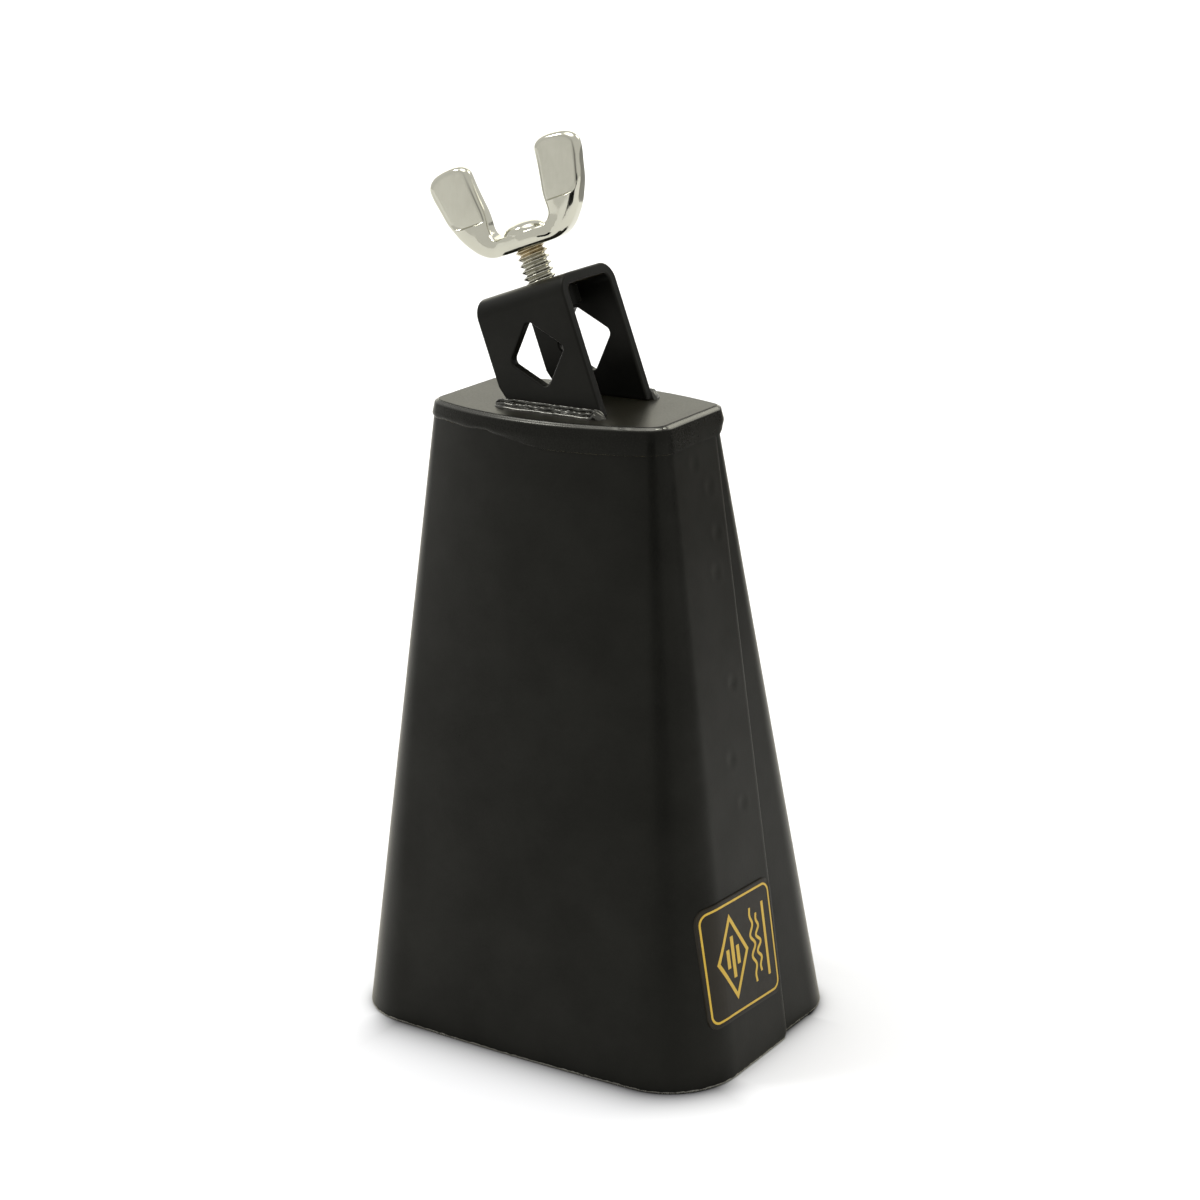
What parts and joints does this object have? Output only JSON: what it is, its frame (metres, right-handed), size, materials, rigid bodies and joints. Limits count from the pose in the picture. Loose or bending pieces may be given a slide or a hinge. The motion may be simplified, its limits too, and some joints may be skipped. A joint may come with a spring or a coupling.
{
  "type": "cowbell",
  "caption": "Clapperless sheet-metal cowbell with a slanted clamp bracket; its wing screw clamps the bell to the rod of a percussion stand.",
  "frame": {"origin": "centre of the mouth, in the plane of its edge", "axes": "+Z from the mouth to the crown, +X along the bell's width towards the label, -Y to the front face"},
  "size_m": [0.0868, 0.0602, 0.1791],
  "materials": {
    "black_paint": "satin black paint with a fine grain",
    "weld_paint": "black paint over rippled weld beads, glossier than the sheet",
    "zinc_steel": "bright plated thread, warm tint",
    "chrome": "polished chrome",
    "label_film": null
  },
  "bodies": {
    "bell": {"front_shell": "black_paint", "rear_shell": "black_paint", "crown_plate": "black_paint", "crown_weld": "weld_paint", "clamp_bracket": "black_paint", "bracket_weld_front": "weld_paint", "bracket_weld_rear": "weld_paint", "weld_nut": "black_paint", "side_label": "label_film"},
    "stud": {"threaded_stud": "zinc_steel"},
    "wing": {"wing_head": "chrome"}
  },
  "joints": [
    {"name": "screw_travel", "type": "slide", "parent": "bell", "child": "stud", "axis": [-0.3338, 0, 0.9426], "range_m": [-0.0063, 0.005]},
    {"name": "screw_turn", "type": "hinge", "parent": "stud", "child": "wing", "pos_m": [-0.00898, 0, 0.15639], "axis": [-0.3338, 0, 0.9426], "range_deg": [-1785, 1417]}
  ],
  "couplings": [
    {"joint": "screw_travel", "follows": "screw_turn", "m_per_rad": 0.00020213}
  ]
}
